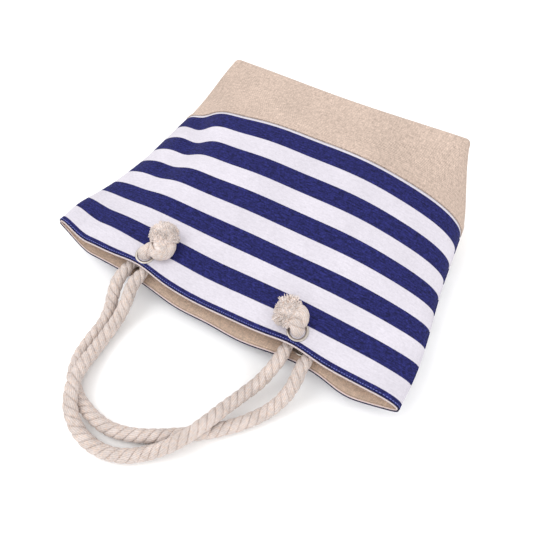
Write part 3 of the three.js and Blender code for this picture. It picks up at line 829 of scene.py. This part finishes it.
canvas_seam = np.linspace(0.5, STRIPED_LENGTH - 0.5, 120)
band_seam = np.linspace(STRIPED_LENGTH, roll_start - 2, 50)
for name, u in (("left", 0.0), ("right", 1.0)):
    welt(f"{name}_side_seam", u, canvas_seam, 1.3, STRIPED, "striped_canvas")
    welt(f"{name}_band_side_seam", u, band_seam, 1.5, WEAVE, "natural_weave")

# The seam where the two flaps meet across the base
middle = BASE_DEPTH / 2
half_seam = BASE_WIDTH / 2 - 9
span = np.linspace(-half_seam, half_seam, 80) + BASE_LEAN * middle
seam_line = np.stack([span, np.full(len(span), base_y + 0.4), np.full(len(span), middle)], -1)
points, faces, uv = tube(seam_line, 1.2, 8)
make_piece("base_cross_seam", points, faces, uv, WEAVE, slot="natural_weave")

# ---- eyelets --------------------------------------------------------------------------------
# Profiles as radius and height over the cloth's outer face
RIM = [(9.3, -4.6), (10.0, -4.6), (10.0, 0.2), (13.4, 0.2), (13.6, 0.6), (13.2, 1.2), (12.2, 1.6),
       (10.6, 1.4), (9.6, 0.6)]
WASHER = [(10.4, -4.9), (13.8, -4.9), (13.9, -4.5), (13.6, -4.1), (10.4, -4.1)]


def lathe(profile, centre, n, segments=64):
    """A closed profile turned around the axis n."""
    side = unit(np.cross(n, (0.2, 1, 0.1)))
    other = np.cross(n, side)
    angle = np.linspace(0, 2 * math.pi, segments, endpoint=False)
    r, h = np.array(profile).T
    ring = np.cos(angle)[:, None] * side + np.sin(angle)[:, None] * other
    points = centre + r[:, None, None] * ring[None] + h[:, None, None] * n
    rows_count = len(profile)
    here = np.arange(segments)
    after = (here + 1) % segments
    last = (rows_count - 1) * segments
    closing = np.stack([here + last, after + last, after, here], -1)
    faces = np.vstack([grid_faces(rows_count, segments, wrap=True), closing])
    uv = np.stack(np.broadcast_arrays(angle[None] * 12, np.arange(rows_count)[:, None] * 1.0), -1)
    return points.reshape(-1, 3), faces, uv.reshape(-1, 2)


for panel, side in KNOTS:
    e, cloth = eyelet_at(panel, side)
    n = cloth[2]
    name = f"{panel}_{side_name(side)}_eyelet"
    for profile, piece, node in ((RIM, name + "_rim", name), (WASHER, name + "_back_ring", name + "_washer")):
        points, faces, uv = lathe(profile, e, n)
        make_piece(piece, points, faces, uv, METAL, replaces=[node], slot="eyelet_metal")

# ---- floor and light ------------------------------------------------------------------------
FLOOR_HALF = 6         # in metres
FLOOR_Z = -0.0005
floor_mesh = bpy.data.meshes.new("floor")
corners = [(x * FLOOR_HALF, y * FLOOR_HALF) for x, y in ((-1, -1), (1, -1), (1, 1), (-1, 1))]
floor_mesh.from_pydata([(x, y, FLOOR_Z) for x, y in corners], [], [(0, 1, 2, 3)])
floor = bpy.data.objects.new("floor", floor_mesh)
bpy.context.scene.collection.objects.link(floor)
paper = bpy.data.materials.new("paper")
paper.use_nodes = True
paper_look = paper.node_tree.nodes["Principled BSDF"]
paper_look.inputs["Base Color"].default_value = (0.97, 0.97, 0.97, 1)
paper_look.inputs["Roughness"].default_value = 0.9
floor_mesh.materials.append(paper)

world = bpy.data.worlds.new("studio")
bpy.context.scene.world = world
world.use_nodes = True
sky = world.node_tree.nodes["Background"]
sky.inputs["Color"].default_value = (1, 1, 1, 1)
sky.inputs["Strength"].default_value = 1.25


def area_light(name, place, target, size, energy):
    data = bpy.data.lights.new(name, "AREA")
    data.shape = "DISK"
    data.size = size
    data.energy = energy
    light = bpy.data.objects.new(name, data)
    light.location = place
    light.rotation_euler = (Vector(target) - Vector(place)).to_track_quat("-Z", "Y").to_euler()
    bpy.context.scene.collection.objects.link(light)


area_light("key", (-0.9, -0.7, 1.9), (0, 0, 0), 1.2, 10)
area_light("fill", (1.2, -1.2, 1.2), (0, 0, 0), 1.5, 4)
